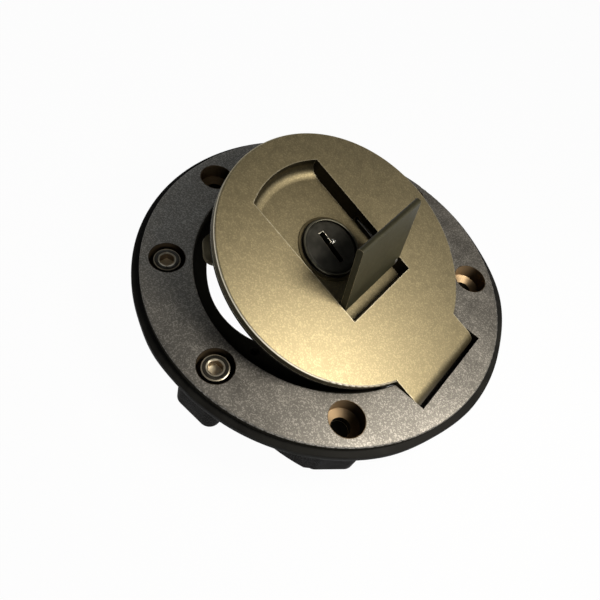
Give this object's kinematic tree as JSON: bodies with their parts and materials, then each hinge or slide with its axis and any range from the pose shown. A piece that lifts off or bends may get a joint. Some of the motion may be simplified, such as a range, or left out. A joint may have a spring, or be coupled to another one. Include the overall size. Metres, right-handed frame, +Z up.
{
  "type": "fuel filler cap",
  "caption": "Hinged, locking fuel filler cap: a round lid with a key lock under a small flap, on a flush mounting ring that bolts to the tank.",
  "frame": {"origin": "on the axis of the mounting ring, at the level of the feet of its bosses", "axes": "+Z up out of the tank, +X from the centre of the opening towards the lid's hinge"},
  "size_m": [0.1236, 0.1236, 0.0553],
  "materials": {
    "ring_coat": "satin",
    "lid_metal": "satin",
    "flap_metal": "satin",
    "rubber": "matte",
    "dark_screws": "satin",
    "steel": "satin",
    "lock_metal": "satin",
    "housing_metal": "matte",
    "plated_steel": "satin",
    "brass": "satin"
  },
  "bodies": {
    "ring": {"mounting_ring": "ring_coat", "rim_gasket": "rubber", "socket_bolts": "dark_screws", "hinge_pin": "steel", "hinge_spring": "steel"},
    "lid": {"lid_plate": "lid_metal", "dust_seal": "rubber", "lock_barrel": "lock_metal", "housing_cap": "housing_metal", "lock_housing": "housing_metal", "housing_screws": "steel", "closing_plate": "plated_steel", "neck_seal": "rubber", "seal_retainer": "plated_steel", "centre_screw": "steel", "flap_pin": "steel", "flap_spring": "steel", "latch_spring_left": "steel", "latch_spring_right": "steel"},
    "key": {"key_plug": "lock_metal", "keyway_ball": "steel", "tumbler_wafers": "brass", "latch_cam": "plated_steel"},
    "flap": {"key_flap": "flap_metal"},
    "left_bolt": {"latch_bolt_left": "plated_steel"},
    "right_bolt": {"latch_bolt_right": "plated_steel"}
  },
  "joints": [
    {"name": "lid_hinge", "type": "hinge", "parent": "ring", "child": "lid", "pos_m": [0.0455, 0, 0.01743], "axis": [0, 1, 0], "range_deg": [-16.7, 68.3]},
    {"name": "flap_hinge", "type": "hinge", "parent": "lid", "child": "flap", "pos_m": [0.01398, 0, 0.02947], "axis": [0, 1, 0], "range_deg": [-66.5, 23.5]},
    {"name": "key_turn", "type": "hinge", "parent": "lid", "child": "key", "pos_m": [-0.0017, 0, 0.03166], "axis": [0.2874, 0, 0.9578], "range_deg": [-90, 0]},
    {"name": "left_bolt_slide", "type": "slide", "parent": "lid", "child": "left_bolt", "axis": [-0.6013, 0.7784, 0.1804], "range_m": [-0.0046, 0], "deforming": ["latch_spring_left"]},
    {"name": "right_bolt_slide", "type": "slide", "parent": "lid", "child": "right_bolt", "axis": [-0.6013, -0.7784, 0.1804], "range_m": [-0.0046, 0], "deforming": ["latch_spring_right"]}
  ],
  "couplings": [
    {"joint": "left_bolt_slide", "follows": "key_turn", "m_per_rad": 0.0029285},
    {"joint": "right_bolt_slide", "follows": "key_turn", "m_per_rad": 0.0029285}
  ]
}
